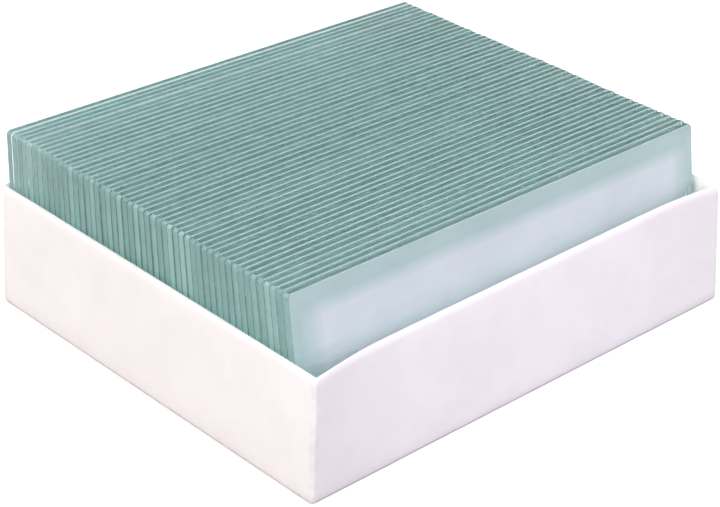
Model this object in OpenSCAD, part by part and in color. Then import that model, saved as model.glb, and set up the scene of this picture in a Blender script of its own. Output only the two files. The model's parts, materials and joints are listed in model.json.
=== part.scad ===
// Open paperboard tray with a filing row of glass microscope slides standing on edge.
//
// The tray is one folded blank: a base, four walls creased up from it and four glue
// flaps that turn the corners. Every panel is a node of its own, and the panels meet
// face to face at the creases. Each slide is a node that lifts out along its own plane.
// The slides lean back in a slight fan, from almost upright at the rear to well tilted
// at the front, so their top edges stand closer together than their lower ones.
//
// Frame: +X along the slides, +Y from the front wall to the rear wall, +Z up.
// The origin is at the middle of the tray's underside. Millimetres.

/* [Slides] */
// Number of slides in the tray
slide_count = 50; // [2:1:50]
// Length of one slide
slide_len = 76; // [75:0.1:76.2]
// Height of one slide standing on its long edge
slide_h = 26; // [25:0.1:26.2]
// How much shorter the lowest slide is than the tallest
height_spread = 0.1; // [0:0.01:0.2]
// Thickness of the glass
slide_t = 1; // [0.9:0.01:1.01]
// Bevel ground along every long arris
arris = 0.12; // [0.05:0.01:0.2]
// Clip across each of the four corners
corner_clip = 0.35; // [0.1:0.05:0.8]

/* [Row of slides] */
// Distance between the top edges of two neighbouring slides
slide_pitch = 1.152; // [1.15:0.001:1.16]
// Largest change of the gap between two neighbouring slides
gap_change = 0.04; // [0:0.005:0.04]
// Backward lean of the front slide
front_lean = 9.3; // [1:0.1:9.3]
// Backward lean of the rear slide
rear_lean = 0.8; // [0.5:0.1:0.9]
// How far the ends of the slides wander along the tray
end_wander = 0.4; // [0:0.05:0.5]
// Slides in one group that share about the same end position
wander_group = 5; // [1:1:10]

/* [Tray] */
// Outside length of the base
tray_len = 79.5; // [79.4:0.1:84]
// Outside width of the base, along the row of slides
tray_w = 64.9; // [64.8:0.1:70]
// Outside height of the walls
tray_h = 18.1; // [12:0.1:22]
// Thickness of the paperboard
board_t = 0.35; // [0.3:0.05:0.4]
// Length of each glue flap
flap_len = 15; // [14:1:20]

/* [Lean of the walls] */
// How far the front wall bows in at its rim
front_bow = 1.2; // [0:0.05:1.3]
// How far the rear wall bows in at its rim
rear_bow = 0; // [0:0.01:0.02]
// How far the left wall bows in at its rim
left_bow = 0.1; // [0:0.05:0.2]
// How far the right wall bows in at its rim
right_bow = 0.25; // [0:0.05:0.3]
// Distance from a corner over which a wall takes up its bow
bow_run = 13; // [6:0.5:13]

/* [Hidden] */
// Rim corners lean in by [along X, along Y]: front left, front right, rear right, rear left
CORNER_LEAN = [[0, 0], [1, 1.3], [0.4, 0.05], [0.55, 0.05]];
// Sections drawn over the bow at each end of a wall, and between the flaps
BOW_STEPS = 6;
MID_STEPS = 5;
LEFT_CLEARANCE = 0.07;
REAR_CLEARANCE = 0.08;
// The part of the end wander that the slides of one group share
GROUP_SHARE = 0.75;
WANDER_SEED = 41;
JITTER_SEED = 12;
GAP_SEED = 7;
HEIGHT_SEED = 23;

group_count = ceil(slide_count / wander_group);
GROUP_SHIFT = rands(0, end_wander * GROUP_SHARE, group_count, WANDER_SEED);
END_JITTER = rands(0, end_wander * (1 - GROUP_SHARE), slide_count, JITTER_SEED);
GAP_JITTER = rands(-gap_change / 2, gap_change / 2, slide_count, GAP_SEED);
HEIGHT_CUT = rands(0, height_spread, slide_count, HEIGHT_SEED);

function lerp(a, b, s) = a + (b - a) * s;
function two_digits(k) = k < 10 ? str("0", k) : str(k);
function slide_name(k) = str("slide_", two_digits(k));

// Slide 1 is at the front. The last one's back stands just clear of the rear glue flaps
rear_stop = tray_w - 2 * board_t - CORNER_LEAN[2][1] - rear_bow - REAR_CLEARANCE;
above_rim = slide_h * cos(rear_lean) - (tray_h - board_t);
rear_top = rear_stop - slide_t + above_rim * tan(rear_lean);
slide_left = board_t + CORNER_LEAN[3][0] + left_bow + LEFT_CLEARANCE;

function lean(k) = lerp(front_lean, rear_lean, (k - 1) / (slide_count - 1));
function end_shift(k) = GROUP_SHIFT[floor((k - 1) / wander_group)] + END_JITTER[k - 1];
function top_y(k) = rear_top - (slide_count - k) * slide_pitch
    + (k == slide_count ? 0 : GAP_JITTER[k - 1]);
// A slide stands on the rear arris of its lower edge
function foot_y(k) = top_y(k) - slide_h * sin(lean(k));
function foot_z(k) = board_t + (slide_t - arris) * sin(lean(k));

PANELS = ["base_panel", "front_wall", "right_wall", "rear_wall", "left_wall",
    "flap_front_left", "flap_front_right", "flap_rear_right", "flap_rear_left"];

// A wall seen from its start corner: [length, start lean, end lean, bow], where a lean
// is [along the wall, into the tray]
function swap(p) = [p[1], p[0]];
WALLS = [
    [tray_len, CORNER_LEAN[0], CORNER_LEAN[1], front_bow],
    [tray_w, swap(CORNER_LEAN[1]), swap(CORNER_LEAN[2]), right_bow],
    [tray_len, CORNER_LEAN[2], CORNER_LEAN[3], rear_bow],
    [tray_w, swap(CORNER_LEAN[3]), swap(CORNER_LEAN[0]), left_bow]
];

// Distances along a wall at which its section is drawn, closer together near the corners
function stations(len) = concat(
    [for (i = [0 : BOW_STEPS]) bow_run * i / BOW_STEPS],
    [for (i = [0 : MID_STEPS]) lerp(flap_len, len - flap_len, i / MID_STEPS)],
    [for (i = [0 : BOW_STEPS]) len - bow_run + bow_run * i / BOW_STEPS]);

// How far the rim stands in from the foot at distance d along a wall
function ramp(d) = d >= bow_run ? 1 : sin(90 * d / bow_run);
function rim_inset(wall, d) = lerp(wall[1][1], wall[2][1], d / wall[0])
    + wall[3] * ramp(d) * ramp(wall[0] - d);

// Points of the surface that lies depth inside the wall's outer face
function foot_point(wall, d, depth) =
    [lerp(depth, wall[0] - depth, d / wall[0]), depth, board_t];
function rim_point(wall, d, depth) =
    [lerp(wall[1][0] + depth, wall[0] - wall[2][0] - depth, d / wall[0]),
     rim_inset(wall, d) + depth, tray_h];
function section(wall, d, near, far) = [foot_point(wall, d, near),
    rim_point(wall, d, near), rim_point(wall, d, far), foot_point(wall, d, far)];

// Side faces between two neighbouring sections. Both large faces are split from foot to
// next rim, so that a flap's face and the wall's face behind it are the same triangles
function strip(i) = [for (j = [0 : 3]) let (a = 4 * i + j, b = 4 * i + (j + 1) % 4)
    each (j == 2 ? [[a, b, a + 4], [b, b + 4, a + 4]] : [[a, b, b + 4], [a, b + 4, a + 4]])];

// Board between two depths, with its section at each of the places along the wall
module board(wall, places, near, far) {
    last = len(places) - 1;
    polyhedron(
        points = [for (d = places) each section(wall, d, near, far)],
        faces = concat([[3, 2, 1, 0]],
            [for (i = [0 : last - 1]) each strip(i)],
            [[for (j = [0 : 3]) 4 * last + j]]));
}

// Puts a wall's own frame on side n of the tray: front, right, rear, left
module on_side(n) {
    corners = [[0, 0], [tray_len, 0], [tray_len, tray_w], [0, tray_w]];
    translate([corners[n][0] - tray_len / 2, corners[n][1] - tray_w / 2, 0])
        rotate([0, 0, 90 * n])
            children();
}

module wall(n, tint) {
    color(tint) on_side(n)
        board(WALLS[n], stations(WALLS[n][0]), 0, board_t);
}

// A glue flap lies on the inner face of the front or rear wall, at its start or its end
module flap(n, at_start) {
    all = stations(WALLS[n][0]);
    count = BOW_STEPS + 2;
    first = at_start ? 0 : len(all) - count;
    color("whitesmoke") on_side(n)
        board(WALLS[n], [for (i = [first : first + count - 1]) all[i]], board_t, 2 * board_t);
}

module base_panel() {
    color("white")
        translate([-tray_len / 2, -tray_w / 2, 0])
            cube([tray_len, tray_w, board_t]);
}

module front_wall() { wall(0, "lavender"); }
module right_wall() { wall(1, "white"); }
module rear_wall() { wall(2, "white"); }
module left_wall() { wall(3, "seashell"); }
module flap_front_left() { flap(0, true); }
module flap_front_right() { flap(0, false); }
module flap_rear_right() { flap(2, true); }
module flap_rear_left() { flap(2, false); }

// A rectangle with its corners cut off at 45 degrees
module clipped(size, cut) {
    polygon([[cut, 0], [size[0] - cut, 0], [size[0], cut], [size[0], size[1] - cut],
        [size[0] - cut, size[1]], [cut, size[1]], [0, size[1] - cut], [0, cut]]);
}

// The glass plate: its outline clipped at the corners, its arrises ground on both faces
module plate(height) {
    intersection() {
        translate([0, slide_t, 0]) rotate([90, 0, 0])
            linear_extrude(slide_t) clipped([slide_len, height], corner_clip);
        rotate([90, 0, 90])
            linear_extrude(slide_len) clipped([slide_t, height], arris);
        linear_extrude(height) clipped([slide_len, slide_t], arris);
    }
}

module slide(k) {
    color([0.55, 0.73, 0.70, 0.7])
        translate([slide_left + end_shift(k) - tray_len / 2, foot_y(k) - tray_w / 2, foot_z(k)])
            rotate([-lean(k), 0, 0])
                plate(slide_h - HEIGHT_CUT[k - 1]);
}

base_panel();
front_wall();
right_wall();
rear_wall();
left_wall();
flap_front_left();
flap_front_right();
flap_rear_right();
flap_rear_left();
for (k = [1 : slide_count])
    slide(k);
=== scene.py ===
import json
import math
import random

import bpy
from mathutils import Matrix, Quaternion, Vector


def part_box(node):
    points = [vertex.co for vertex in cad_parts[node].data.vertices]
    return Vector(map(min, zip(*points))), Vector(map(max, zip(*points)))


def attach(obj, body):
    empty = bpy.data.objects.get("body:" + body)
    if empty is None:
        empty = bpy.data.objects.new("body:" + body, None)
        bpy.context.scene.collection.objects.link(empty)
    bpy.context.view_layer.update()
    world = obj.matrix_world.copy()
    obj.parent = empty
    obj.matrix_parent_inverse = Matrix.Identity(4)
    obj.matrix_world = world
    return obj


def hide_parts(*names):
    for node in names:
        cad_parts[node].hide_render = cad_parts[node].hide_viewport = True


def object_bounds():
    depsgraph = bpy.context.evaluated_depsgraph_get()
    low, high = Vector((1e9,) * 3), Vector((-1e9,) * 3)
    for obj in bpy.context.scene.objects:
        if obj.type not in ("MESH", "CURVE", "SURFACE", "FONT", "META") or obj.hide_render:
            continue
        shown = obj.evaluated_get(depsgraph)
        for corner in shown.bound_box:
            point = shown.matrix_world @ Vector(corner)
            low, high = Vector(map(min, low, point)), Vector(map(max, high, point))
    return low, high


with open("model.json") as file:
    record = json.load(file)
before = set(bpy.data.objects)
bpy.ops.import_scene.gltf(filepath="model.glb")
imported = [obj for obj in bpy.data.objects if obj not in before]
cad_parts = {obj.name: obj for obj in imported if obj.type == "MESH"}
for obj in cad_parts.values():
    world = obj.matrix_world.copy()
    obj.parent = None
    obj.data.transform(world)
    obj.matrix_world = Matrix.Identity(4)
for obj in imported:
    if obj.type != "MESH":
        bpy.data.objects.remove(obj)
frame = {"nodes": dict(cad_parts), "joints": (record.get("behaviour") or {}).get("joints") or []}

# An open paperboard tray that holds a row of glass microscope slides on edge.
# Everything is in metres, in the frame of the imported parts: +X along the slides,
# +Y from the front wall to the rear wall, +Z up, the origin under the tray's middle.

MM = 0.001
CAD_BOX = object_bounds()


def direction(azimuth, elevation):
    """Unit vector from the middle. Azimuth 0 is the front, -Y, and 90 degrees is +X."""
    level = math.cos(elevation)
    return Vector((
        math.sin(azimuth) * level, -math.cos(azimuth) * level, math.sin(elevation)))


# Camera: a long lens that looks down on the tray's front left corner
CAMERA_AZIMUTH = math.radians(-44.56)
CAMERA_ELEVATION = math.radians(28.73)
CAMERA_ROLL = math.radians(2.47)
CAMERA_DISTANCE = 288.8 * MM
CAMERA_LENS = 102.8
AIM_FROM_CENTRE = Vector((-2.49, -1.07, -4.5)) * MM


def make_camera():
    data = bpy.data.cameras.new("camera")
    data.lens = CAMERA_LENS
    data.sensor_width = 36
    data.clip_start = 10 * MM
    data.clip_end = 20
    camera = bpy.data.objects.new("camera", data)
    bpy.context.scene.collection.objects.link(camera)
    back = direction(CAMERA_AZIMUTH, CAMERA_ELEVATION)
    centre = (CAD_BOX[0] + CAD_BOX[1]) / 2
    camera.location = centre + AIM_FROM_CENTRE + back * CAMERA_DISTANCE
    camera.rotation_mode = "QUATERNION"
    roll = Quaternion((0, 0, 1), CAMERA_ROLL)
    camera.rotation_quaternion = (-back).to_track_quat("-Z", "Y") @ roll
    bpy.context.scene.camera = camera


# Node helpers

# Sockets of the Mix node when it mixes colours
MIX_A, MIX_B, MIX_RESULT = 6, 7, 2


def new_material(name):
    material = bpy.data.materials.new(name)
    material.use_nodes = True
    tree = material.node_tree
    tree.nodes.clear()
    return material, tree


def add_node(tree, kind, inputs=None, **settings):
    node = tree.nodes.new(kind)
    for key, value in settings.items():
        setattr(node, key, value)
    for key, value in (inputs or {}).items():
        if isinstance(value, bpy.types.NodeSocket):
            tree.links.new(value, node.inputs[key])
        else:
            node.inputs[key].default_value = value
    return node


def combine(tree, operation, *values):
    node = add_node(tree, "ShaderNodeMath", dict(enumerate(values)), operation=operation)
    return node.outputs["Value"]


def remap(tree, value, start, end, low=0.0, high=1.0, **settings):
    """Carries a value from start..end to low..high, and stops there."""
    node = add_node(tree, "ShaderNodeMapRange", {
        "Value": value, "From Min": start, "From Max": end,
        "To Min": low, "To Max": high}, **settings)
    return node.outputs["Result"]


def blend(tree, factor, first, second):
    node = add_node(tree, "ShaderNodeMix", {
        "Factor": factor, MIX_A: first, MIX_B: second}, data_type="RGBA")
    return node.outputs[MIX_RESULT]


def noise(tree, place, scale, detail, **inputs):
    node = add_node(tree, "ShaderNodeTexNoise", {
        "Vector": place, "Scale": scale, "Detail": detail, **inputs})
    return node.outputs["Fac"]


def ramp(tree, value, start, first, end, second):
    node = add_node(tree, "ShaderNodeValToRGB", {"Fac": value})
    for stop, at, colour in zip(node.color_ramp.elements, (start, end), (first, second)):
        stop.position = at
        stop.color = colour
    return node.outputs["Color"]


def output(tree, surface, volume=None, kind="ShaderNodeOutputMaterial"):
    inputs = {"Surface": surface.outputs[0]}
    if volume:
        inputs["Volume"] = volume.outputs[0]
    add_node(tree, kind, inputs)


def mesh_object(name, verts, faces):
    mesh = bpy.data.meshes.new(name)
    mesh.from_pydata(verts, [], faces)
    mesh.update()
    piece = bpy.data.objects.new(name, mesh)
    bpy.context.scene.collection.objects.link(piece)
    return piece


# Glass slides

GLASS_IOR = 1.52
GLASS_TINT = (0.30, 0.66, 0.65, 1)
GLASS_DENSITY = 10.0
EDGE_TINT = (0.40, 0.67, 0.65, 1)
END_TINT = (0.64, 1.0, 0.95, 1)
EDGE_GRIND = 0.3
END_GRIND = 1.0
GROUND_ROUGHNESS = 0.5

# How much of each face is dull instead of clear: the front slide's outer face carries a
# painted reflection of the front wall's bright inner face, the ground edges and ends
# scatter, and the other faces have a trace of dust
FRONT_PAINTED_REFLECTION = 0.64
EDGE_HAZE = 0.27
END_HAZE = 0.50
HAZE = 0.01
HAZE_LEAST = 0.6
# The painted reflection: thin and teal at the top and the ends, full and pale in the
# middle, and thin again towards the foot, which paints shade on the strip above the rim
TEAL_DUST_AND_REFLECTION_TINT = (0.64, 0.96, 0.92, 1)
PALE_DUST_AND_REFLECTION_TINT = (0.85, 0.96, 1.0, 1)
REFLECTION_TOP = 23.9 * MM
REFLECTION_FULL_HEIGHT = 21.9 * MM
REFLECTION_FULL_X = 33.0 * MM
REFLECTION_END_X = 37.0 * MM
SHADED_STRIP_TOP = 18.0 * MM
SHADED_STRIP_FOOT = 15.0 * MM
SHADED_STRIP_LEFT = 0.35

# The frosted arris between a polished face and a ground edge
ARRIS_DARK = (0.26, 0.39, 0.37, 1)
ARRIS_LIGHT = (0.36, 0.49, 0.47, 1)
ARRIS_END = (0.16, 0.30, 0.28, 1)
ARRIS = 0.12 * MM
ARRIS_CHANGE = 0.02 * MM
END_ARRIS = 0.35
CLIP = 0.35 * MM
EDGE_STEP = 2.0 * MM

# How dull a slide's edges are beside the others: most are alike, a few duller
WEAR_LEAST = 0.85
WEAR_SPREAD = 0.6
SLIDE_SEED = 5

FRONT_SLIDE = min((j["child"] for j in frame["joints"]), key=lambda name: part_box(name)[0].y)


def glass_material():
    """Clear glass with a green body tint. The attribute "ground" is 0 on a polished face
    and rises with the grind; the other attribute is the dull share of a face: dust and the
    scatter of ground edges, and on the front slide's outer face a painted reflection."""
    material, tree = new_material("slide_glass")
    place = add_node(tree, "ShaderNodeTexCoord").outputs["Object"]
    ground = add_node(tree, "ShaderNodeAttribute", attribute_name="ground").outputs["Fac"]
    dullness_and_reflection = add_node(tree, "ShaderNodeAttribute", attribute_name="dullness_and_reflection").outputs["Fac"]
    spot = add_node(tree, "ShaderNodeSeparateXYZ", {"Vector": place}).outputs

    # painted reflection: a pale band low on the face and clear of the ends, teal above it and at
    # the ends
    low = remap(tree, spot["Z"], REFLECTION_TOP, REFLECTION_FULL_HEIGHT)
    inner = remap(tree, combine(tree, "ABSOLUTE", spot["X"]), REFLECTION_END_X, REFLECTION_FULL_X)
    reflection_band = combine(tree, "MULTIPLY", low, inner)
    dust_and_reflection = combine(tree, "MULTIPLY", dullness_and_reflection, remap(tree, reflection_band, 0, 1, HAZE_LEAST, 1))
    # painted shade: the dull share thins below the rim's height, so the face darkens there
    shaded_strip = remap(tree, spot["Z"], SHADED_STRIP_TOP, SHADED_STRIP_FOOT, 1, SHADED_STRIP_LEFT)
    dust_and_reflection = combine(tree, "MULTIPLY", dust_and_reflection, shaded_strip)
    smudge = remap(tree, noise(tree, place, 90.0, 4.0), 0.3, 0.7, 0.85, 1)
    dust_and_reflection = combine(tree, "MULTIPLY", dust_and_reflection, smudge)

    # colour of the painted reflection and of the dust: pale in the band, teal elsewhere
    dust_and_reflection_tint = blend(tree, reflection_band, TEAL_DUST_AND_REFLECTION_TINT, PALE_DUST_AND_REFLECTION_TINT)
    colour = blend(tree, dullness_and_reflection, (1, 1, 1, 1), dust_and_reflection_tint)
    at_edge = combine(tree, "GREATER_THAN", ground, EDGE_GRIND / 2)
    colour = blend(tree, at_edge, colour, EDGE_TINT)
    at_end = combine(tree, "GREATER_THAN", ground, END_GRIND / 2)
    colour = blend(tree, at_end, colour, END_TINT)

    grain = combine(tree, "MULTIPLY", noise(tree, place, 2600.0, 3.0), ground)
    bump = add_node(tree, "ShaderNodeBump", {
        "Strength": 0.25, "Distance": 0.04 * MM, "Height": grain})
    glass = add_node(tree, "ShaderNodeBsdfPrincipled", {
        "Base Color": colour, "IOR": GLASS_IOR, "Normal": bump.outputs["Normal"],
        "Transmission Weight": combine(tree, "SUBTRACT", 1.0, dust_and_reflection),
        "Roughness": remap(tree, ground, 0, 1, 0, GROUND_ROUGHNESS)})
    tint = add_node(tree, "ShaderNodeVolumeAbsorption", {
        "Color": GLASS_TINT, "Density": GLASS_DENSITY})
    output(tree, glass, volume=tint)
    return material


def arris_material():
    """Frosted and opaque, and darker at the slides' ends, where "ground" is 1."""
    material, tree = new_material("ground_arris")
    place = add_node(tree, "ShaderNodeTexCoord").outputs["Object"]
    at_end = add_node(tree, "ShaderNodeAttribute", attribute_name="ground").outputs["Fac"]
    speckle = noise(tree, place, 1500.0, 3.0)
    tone = ramp(tree, speckle, 0.3, ARRIS_DARK, 0.7, ARRIS_LIGHT)
    bump = add_node(tree, "ShaderNodeBump", {
        "Strength": 0.4, "Distance": 0.03 * MM, "Height": speckle})
    frost = add_node(tree, "ShaderNodeBsdfPrincipled", {
        "Base Color": blend(tree, at_end, tone, ARRIS_END), "Roughness": 0.6,
        "Normal": bump.outputs["Normal"]})
    output(tree, frost)
    return material


def outline(length, height):
    """Points round the slide's edge, counterclockwise: place, inward direction, share of
    the full arris."""
    points = []
    corners = [(CLIP, 0), (length - CLIP, 0), (length, CLIP), (length, height - CLIP),
               (length - CLIP, height), (CLIP, height), (0, height - CLIP), (0, CLIP)]
    inward = [(0, 1), (-1, 1), (-1, 0), (-1, -1), (0, -1), (1, -1), (1, 0), (1, 1)]
    for i, start in enumerate(corners):
        end = corners[(i + 1) % 8]
        span = math.dist(start, end)
        steps = 1 if i % 2 else round(span / EDGE_STEP)
        previous = Vector(inward[i - 1]).normalized()
        own = Vector(inward[i]).normalized()
        for k in range(steps):
            at = Vector(start).lerp(Vector(end), k / steps)
            share = END_ARRIS if abs(own.x) > abs(own.y) else 1.0
            points.append((at, own if k else (previous + own).normalized(), share))
    return points


def make_slide(joint, materials, draw):
    """A closed plate in the CAD slide's place. Each point of its outline has four rings:
    front face, front arris, rear arris, rear face."""
    name = joint["child"]
    up = Vector(joint["axis"])
    along = Vector((1, 0, 0))
    through = up.cross(along)
    corners = [v.co for v in frame["nodes"][name].data.vertices]
    low = Vector([min(c.dot(axis) for c in corners) for axis in (along, through, up)])
    high = Vector([max(c.dot(axis) for c in corners) for axis in (along, through, up)])
    length, thick, height = high - low

    def place(x, depth, z):
        return along * (low.x + x) + through * (low.y + depth) + up * (low.z + z)

    ring = outline(length, height)
    verts = []
    for edge, inward, share in ring:
        for front in (True, False):
            width = share * (ARRIS + ARRIS_CHANGE * (draw.random() - 0.5))
            face = edge + inward * width
            if front:
                verts.append(place(face.x, 0, face.y))
                verts.append(place(edge.x, width, edge.y))
            else:
                verts.append(place(edge.x, thick - width, edge.y))
                verts.append(place(face.x, thick, face.y))
    count = len(ring)
    faces = [[4 * i for i in range(count)], [4 * i + 3 for i in reversed(range(count))]]
    wear = WEAR_LEAST + WEAR_SPREAD * draw.random() ** 3
    ground = [0.0, 0.0]
    # the front slide's outer face gets the painted reflection, the other faces a trace of dust
    dullness_and_reflection = [FRONT_PAINTED_REFLECTION if name == FRONT_SLIDE else HAZE, HAZE]
    finish = [0, 0]
    for i in range(count):
        j = (i + 1) % count
        for k in range(3):
            faces.append([4 * i + k + 1, 4 * j + k + 1, 4 * j + k, 4 * i + k])
            at_end = abs(ring[i][1].x) + abs(ring[j][1].x) > 1
            ground.append(END_GRIND if at_end else EDGE_GRIND if k == 1 else 0)
            dullness_and_reflection.append(wear * (END_HAZE if at_end else EDGE_HAZE))
            finish.append(0 if k == 1 else 1)
    piece = mesh_object(name + "_glass", verts, faces)
    for key, values in (("ground", ground), ("dullness_and_reflection", dullness_and_reflection)):
        piece.data.attributes.new(key, "FLOAT", "FACE").data.foreach_set("value", values)
    for material in materials:
        piece.data.materials.append(material)
    piece.data.polygons.foreach_set("material_index", finish)
    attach(piece, name)
    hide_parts(name)


def make_slides():
    materials = (glass_material(), arris_material())
    draw = random.Random(SLIDE_SEED)
    for joint in frame["joints"]:
        make_slide(joint, materials, draw)


# Tray: one folded board, with a glue flap inside each end of the front and rear walls

# node, direction along the wall, direction into the tray, in order round the tray
WALLS = [
    ("front_wall", Vector((1, 0, 0)), Vector((0, 1, 0))),
    ("right_wall", Vector((0, 1, 0)), Vector((-1, 0, 0))),
    ("rear_wall", Vector((-1, 0, 0)), Vector((0, -1, 0))),
    ("left_wall", Vector((0, -1, 0)), Vector((1, 0, 0))),
]
# node, its wall's place in WALLS, whether it starts at the wall's first corner
FLAPS = [
    ("flap_front_left", 0, True),
    ("flap_front_right", 0, False),
    ("flap_rear_right", 2, True),
    ("flap_rear_left", 2, False),
]
# Rounding of the folds outside and inside, of the foot, and of the cut rim
CREASE_RADIUS = 0.55 * MM
INNER_RADIUS = 0.25 * MM
FOOT_RADIUS = 0.40 * MM
RIM_ROUND = 0.06 * MM
CORNER_STEPS = 6
FOOT_STEPS = 3
# Spacing of the points along a wall, and up it
WALL_STEP = 1.0 * MM
LEVEL_STEP = 1.2 * MM
# How far a wall's face stands out: in two waves of these radians per metre, and over a
# flap, whose outline fades within this run
BULGE = 0.10 * MM
LONG_WAVE = 190
SHORT_WAVE = 430
FLAP_PRINT = 0.06 * MM
FLAP_PRINT_RUN = 1.2 * MM
# A flap is narrower at its foot, ends below the rim and clears the wall by a skin
FLAP_TAPER = 1.6 * MM
FLAP_DROP = 0.35 * MM
FLAP_SKIN = 0.02 * MM
FLAP_CELLS = 12
FLAP_END = max(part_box(name)[1].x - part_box(name)[0].x for name, _, _ in FLAPS)
# How far the rubbing reaches from a crease, and from the foot
CREASE_WORN = 1.5 * MM
FOOT_WORN = 1.2 * MM


def smooth(x):
    x = min(max(x, 0), 1)
    return x * x * (3 - 2 * x)


class Wall:
    """One wall's outer face: a ruled surface from its straight foot to its bowed rim."""

    def __init__(self, node, along, inward):
        self.along = along
        self.inward = inward
        foot_low, foot_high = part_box("base_panel")
        self.board = foot_high.z - foot_low.z
        self.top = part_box(node)[1].z
        half = (foot_high - foot_low) / 2
        self.length = 2 * abs(half.dot(along))
        self.start = -along * abs(half.dot(along)) - inward * abs(half.dot(inward))
        rim = set()
        for vertex in frame["nodes"][node].data.vertices:
            at = vertex.co - self.start
            if vertex.co.z > self.top - self.board / 4:
                rim.add((round(at.dot(along), 6), round(at.dot(inward), 6)))
        self.rim = sorted(p for p in rim if not any(
            abs(q[0] - p[0]) < self.board * 1.5 and q[1] < p[1] - self.board / 2 for q in rim))

    def rim_at(self, share):
        """The rim's distance along the wall and its inset, on a smooth curve."""
        first, last = self.rim[0][0], self.rim[-1][0]
        d = first + (last - first) * share
        k = max(1, sum(1 for p in self.rim[:-1] if p[0] < d))
        (x0, y0), (x1, y1) = self.rim[k - 1], self.rim[k]
        before = self.rim[max(k - 2, 0)]
        after = self.rim[min(k + 1, len(self.rim) - 1)]
        t = (d - x0) / (x1 - x0)
        slope0 = (y1 - before[1]) / (x1 - before[0]) * (x1 - x0)
        slope1 = (after[1] - y0) / (after[0] - x0) * (x1 - x0)
        inset = ((2 * t**3 - 3 * t**2 + 1) * y0 + (t**3 - 2 * t**2 + t) * slope0
                 + (3 * t**2 - 2 * t**3) * y1 + (t**3 - t**2) * slope1)
        return d, inset

    def bulge(self, share, rise):
        """How far the face stands out: the board's own waviness and the flaps behind it."""
        x = share * self.length
        long_wave = math.sin(x * LONG_WAVE + 9 * self.along.x)
        short_wave = math.sin(x * SHORT_WAVE + rise * 3 + 5 * self.along.y)
        wave = 0.5 + 0.25 * long_wave + 0.25 * short_wave
        held = math.sin(math.pi * share) ** 0.5 * math.sin(math.pi * min(rise, 1)) ** 0.7
        out = BULGE * wave * held
        if self.inward.x == 0:
            from_end = min(x, self.length - x)
            over = smooth((FLAP_END - from_end) / FLAP_PRINT_RUN + 0.5)
            out += FLAP_PRINT * over * math.sin(math.pi * min(rise * 0.5 + 0.2, 1))
        return out

    def point(self, share, z, depth):
        """A point at a share of the wall's length, at a height, this deep in the board."""
        rise = max(z - self.board, 0) / (self.top - self.board)
        rim_d, rim_in = self.rim_at(share)
        d = share * self.length * (1 - rise) + rim_d * rise + depth * (1 - 2 * share)
        inset = rim_in * rise + depth - self.bulge(share, rise)
        return self.start + self.along * d + self.inward * inset + Vector((0, 0, z))


def loop(walls, z, depth, radius):
    """Points once round the tray at one height, with its corners rounded, and how near
    each is to a crease."""
    points, crease = [], []
    for i, wall in enumerate(walls):
        following = walls[(i + 1) % 4]
        steps = round(wall.length / WALL_STEP)
        cut = radius / wall.length
        for k in range(steps + 1):
            share = cut + (1 - 2 * cut) * k / steps
            points.append(wall.point(share, z, depth))
            crease.append(1 - smooth(min(k, steps - k) * WALL_STEP / CREASE_WORN))
        corner = (wall.point(1, z, depth) + following.point(0, z, depth)) / 2
        end = wall.point(1 - cut, z, depth)
        start = following.point(radius / following.length, z, depth)
        for k in range(1, CORNER_STEPS):
            t = k / CORNER_STEPS
            points.append(end * (1 - t) ** 2 + corner * 2 * t * (1 - t) + start * t * t)
            crease.append(1.0)
    return points, crease


def ring_plan(walls):
    """Heights, depths and corner radii of the rings, from under the base over the rim."""
    board, top = walls[0].board, walls[0].top
    plan = []
    for k in range(FOOT_STEPS + 1):
        turn = math.pi / 2 * k / FOOT_STEPS
        plan.append((FOOT_RADIUS * (1 - math.cos(turn)), FOOT_RADIUS * (1 - math.sin(turn))))
    levels = round((top - FOOT_RADIUS) / LEVEL_STEP)
    for k in range(1, levels):
        plan.append((FOOT_RADIUS + (top - RIM_ROUND - FOOT_RADIUS) * k / levels, 0))
    plan += [(top - RIM_ROUND, 0), (top, RIM_ROUND), (top, board - RIM_ROUND),
             (top - RIM_ROUND, board)]
    floor = board + INNER_RADIUS
    for k in range(1, levels):
        plan.append((top - RIM_ROUND - (top - RIM_ROUND - floor) * k / levels, board))
    plan += [(floor, board), (board, board + INNER_RADIUS)]
    return [(z, depth, CREASE_RADIUS if depth < board / 2 else INNER_RADIUS)
            for z, depth in plan]


def make_tray_board(walls, material):
    verts, faces, creases = [], [], []
    plan = ring_plan(walls)
    for z, depth, radius in plan:
        points, crease = loop(walls, z, depth, radius)
        verts += points
        creases += [max(c, 1 - smooth(z / FOOT_WORN)) for c in crease]
    count = len(verts) // len(plan)
    for r in range(len(plan) - 1):
        for i in range(count):
            j = (i + 1) % count
            low, high = r * count, (r + 1) * count
            faces.append([low + i, low + j, high + j, high + i])
    faces.append(list(reversed(range(count))))
    faces.append([(len(plan) - 1) * count + i for i in range(count)])
    piece = mesh_object("tray_board", verts, faces)
    values = piece.data.attributes.new("crease", "FLOAT", "POINT")
    values.data.foreach_set("value", creases)
    piece.data.polygons.foreach_set("use_smooth", [len(f) == 4 for f in faces])
    finish_board(piece, material, "base_panel", *[w[0] for w in WALLS])


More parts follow.
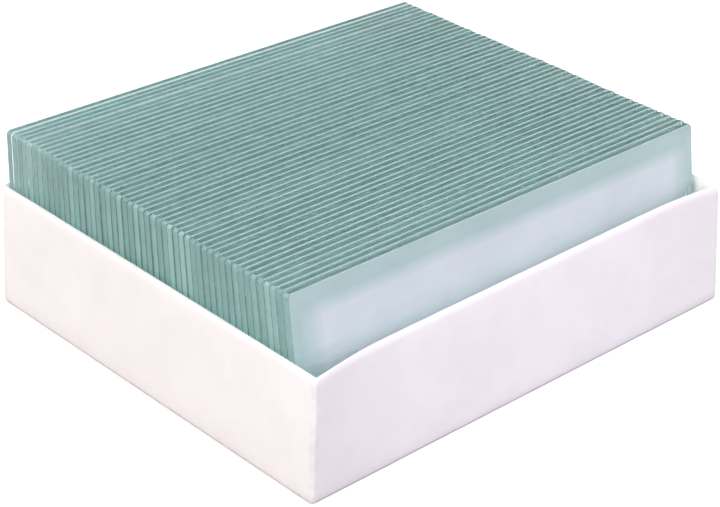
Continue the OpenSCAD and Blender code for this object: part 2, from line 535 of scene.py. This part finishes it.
def make_flap(name, wall, at_start, material):
    """A glue flap: a slab on the wall's inner face, lower and shorter towards its foot."""
    board, top = wall.board, wall.top
    columns = rows = FLAP_CELLS
    verts, faces = [], []
    for depth in (board + FLAP_SKIN, 2 * board - FLAP_SKIN):
        for c in range(columns + 1):
            for r in range(rows + 1):
                rise = r / rows
                z = board + FLAP_SKIN + (top - FLAP_DROP - board - FLAP_SKIN) * rise
                reach = FLAP_END - FLAP_TAPER * (1 - rise) - RIM_ROUND
                x = board + INNER_RADIUS + (reach - board - INNER_RADIUS) * c / columns
                share = x / wall.length
                if not at_start:
                    share = 1 - share
                verts.append(wall.point(share, z, depth))
    layer = (columns + 1) * (rows + 1)

    def corner(c, r, side):
        return side * layer + c * (rows + 1) + r

    for c in range(columns):
        for r in range(rows):
            quad = [(c, r), (c + 1, r), (c + 1, r + 1), (c, r + 1)]
            faces.append([corner(*q, 0) for q in quad])
            faces.append([corner(*q, 1) for q in reversed(quad)])
    border = ([(c, 0) for c in range(columns)] + [(columns, r) for r in range(rows)]
              + [(c, rows) for c in range(columns, 0, -1)] + [(0, r) for r in range(rows, 0, -1)])
    for i, here in enumerate(border):
        there = border[(i + 1) % len(border)]
        faces.append([corner(*there, 0), corner(*here, 0), corner(*here, 1), corner(*there, 1)])
    if not at_start:
        faces = [list(reversed(f)) for f in faces]
    piece = mesh_object(name + "_board", verts, faces)
    finish_board(piece, material, name)


def finish_board(piece, material, *nodes):
    piece.data.materials.append(material)
    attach(piece, "tray")
    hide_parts(*nodes)


BOARD_WHITE = (0.92, 0.91, 0.91, 1)
BOARD_DULL = (0.88, 0.87, 0.875, 1)
BOARD_GLOW = 0.6
BOARD_GLOW_REACH = 0.4 * MM
# Painted shade: the board darkens within this reach below the top of the rim
RIM_SHADE_REACH = 0.25 * MM
RIM_PAINTED_SHADE = 0.78


def board_material():
    """Uncoated paperboard, with painted shade along the rim. The attribute "crease" is 1 on a
    crease, where it is rubbed.
    """
    material, tree = new_material("tray_board")
    place = add_node(tree, "ShaderNodeTexCoord").outputs["Object"]
    crease = add_node(tree, "ShaderNodeAttribute", attribute_name="crease").outputs["Fac"]
    height = add_node(tree, "ShaderNodeSeparateXYZ", {"Vector": place}).outputs["Z"]
    cloud = noise(tree, place, 110.0, 4.0, Roughness=0.6)
    fibre = noise(tree, place, 2200.0, 5.0, Roughness=0.65)
    rub = noise(tree, place, 700.0, 3.0)
    ripple = noise(tree, place, 330.0, 3.0)

    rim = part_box("front_wall")[1].z
    # painted shade: darker towards the top of the rim, all round the tray
    shade = remap(tree, height, rim - RIM_SHADE_REACH, rim, 1, RIM_PAINTED_SHADE)
    speck = remap(tree, fibre, 0.25, 0.40, 0.93, 1)
    shade = combine(tree, "MULTIPLY", shade, speck)
    worn = remap(tree, combine(tree, "MULTIPLY", crease, rub), 0.35, 0.75, 1, 0.90)
    shade = combine(tree, "MULTIPLY", shade, worn)
    tone = ramp(tree, cloud, 0.35, BOARD_DULL, 0.62, BOARD_WHITE)
    colour = add_node(tree, "ShaderNodeVectorMath", {0: tone, 1: shade}, operation="MULTIPLY")

    coarse = add_node(tree, "ShaderNodeBump", {
        "Strength": 0.5, "Distance": 0.06 * MM, "Height": ripple})
    fine = add_node(tree, "ShaderNodeBump", {
        "Strength": 0.5, "Distance": 0.02 * MM, "Height": fibre,
        "Normal": coarse.outputs["Normal"]})
    board = add_node(tree, "ShaderNodeBsdfPrincipled", {
        "Base Color": colour.outputs["Vector"], "IOR": 1.45,
        "Roughness": remap(tree, cloud, 0, 1, 0.55, 0.78), "Normal": fine.outputs["Normal"],
        "Subsurface Weight": BOARD_GLOW, "Subsurface Radius": (1, 1, 1),
        "Subsurface Scale": BOARD_GLOW_REACH})
    output(tree, board)
    return material


def make_tray():
    material = board_material()
    walls = [Wall(*w) for w in WALLS]
    make_tray_board(walls, material)
    for name, wall, at_start in FLAPS:
        make_flap(name, walls[wall], at_start, material)


# Studio: a white table and dim surroundings lit by large softboxes. The table and the
# room are white to the camera and grey in the glass, as a product cut out on white looks.

FLOOR_SIZE = 6.0
FLOOR_DROP = 0.02 * MM
FLOOR_ROUGHNESS = 0.9
FLOOR_WHITE = (0.95, 0.95, 0.95, 1)
FLOOR_GREY = (0.38, 0.38, 0.39, 1)
# Between these distances from the middle the lit floor passes into the white room
FLOOR_NEAR = 0.12
FLOOR_FAR = 0.35
WHITE = (1, 1, 1, 1)
ROOM_WHITE = 1.0
ROOM_GREY = 0.15
# How much of the white shows through a single plate of glass: two surfaces, so a ray
# depth of 2
SEEN_THROUGH = 0.5
ONE_PLATE = 2.5

# name, azimuth and elevation in degrees, distance, side, power, colour
SOFTBOXES = [
    ("overhead_softbox", -20, 78, 0.9, 0.9, 3.9, (1.0, 1.0, 1.0)),
    ("left_softbox", -88, 32, 0.9, 0.8, 6.8, (1.0, 0.90, 0.86)),
    ("front_softbox", 8, 48, 0.9, 0.8, 5.0, (0.93, 0.83, 1.0)),
    ("right_softbox", 95, 28, 0.9, 0.7, 5.4, (1.0, 1.0, 1.0)),
    ("rear_softbox", 176, 38, 0.9, 0.8, 2.4, (1.0, 1.0, 1.0)),
]


def seen_or_not(tree, seen, otherwise):
    """A mix of two shaders: the first to the camera, the second to every other ray, and
    something between the two through one plate of glass."""
    path = add_node(tree, "ShaderNodeLightPath").outputs
    shallow = combine(tree, "LESS_THAN", path["Ray Depth"], ONE_PLATE)
    through = combine(tree, "MULTIPLY", shallow, path["Is Transmission Ray"])
    factor = combine(tree, "MULTIPLY_ADD", through, SEEN_THROUGH, path["Is Camera Ray"])
    return add_node(tree, "ShaderNodeMixShader", {
        0: factor, 1: otherwise.outputs[0], 2: seen.outputs[0]})


def make_floor():
    half = FLOOR_SIZE / 2
    corners = [(-half, -half, 0), (half, -half, 0), (half, half, 0), (-half, half, 0)]
    floor = mesh_object("floor", corners, [(0, 1, 2, 3)])
    floor.location.z = -FLOOR_DROP
    material, tree = new_material("floor")
    place = add_node(tree, "ShaderNodeTexCoord").outputs["Object"]
    reach = add_node(tree, "ShaderNodeVectorMath", {0: place}, operation="LENGTH")
    far = remap(tree, reach.outputs["Value"], FLOOR_NEAR, FLOOR_FAR,
                interpolation_type="SMOOTHSTEP")
    lit, grey = [add_node(tree, "ShaderNodeBsdfPrincipled", {
        "Base Color": colour, "Roughness": FLOOR_ROUGHNESS})
        for colour in (FLOOR_WHITE, FLOOR_GREY)]
    bright = add_node(tree, "ShaderNodeEmission", {"Color": WHITE, "Strength": ROOM_WHITE})
    white = add_node(tree, "ShaderNodeMixShader", {
        0: far, 1: lit.outputs[0], 2: bright.outputs[0]})
    output(tree, seen_or_not(tree, white, grey))
    floor.data.materials.append(material)


def make_light():
    world = bpy.data.worlds.new("studio")
    bpy.context.scene.world = world
    world.use_nodes = True
    tree = world.node_tree
    tree.nodes.clear()
    white, grey = [add_node(tree, "ShaderNodeBackground", {
        "Color": WHITE, "Strength": strength}) for strength in (ROOM_WHITE, ROOM_GREY)]
    output(tree, seen_or_not(tree, white, grey), kind="ShaderNodeOutputWorld")
    for name, azimuth, elevation, distance, side, power, colour in SOFTBOXES:
        data = bpy.data.lights.new(name, "AREA")
        data.size = side
        data.energy = power
        data.color = colour
        lamp = bpy.data.objects.new(name, data)
        bpy.context.scene.collection.objects.link(lamp)
        towards = direction(math.radians(azimuth), math.radians(elevation))
        lamp.location = towards * distance
        lamp.rotation_mode = "QUATERNION"
        lamp.rotation_quaternion = towards.to_track_quat("Z", "Y")


# Light crosses the whole row of plates, and turns back inside each of them many times
GLASS_BOUNCES = 200
DIFFUSE_BOUNCES = 6


def set_light_paths():
    scene = bpy.context.scene
    scene.view_settings.view_transform = "Standard"
    scene.cycles.blur_glossy = 0.0
    scene.cycles.max_bounces = GLASS_BOUNCES
    scene.cycles.glossy_bounces = GLASS_BOUNCES
    scene.cycles.transmission_bounces = GLASS_BOUNCES
    scene.cycles.diffuse_bounces = DIFFUSE_BOUNCES


make_camera()
make_floor()
make_light()
set_light_paths()
make_tray()
make_slides()
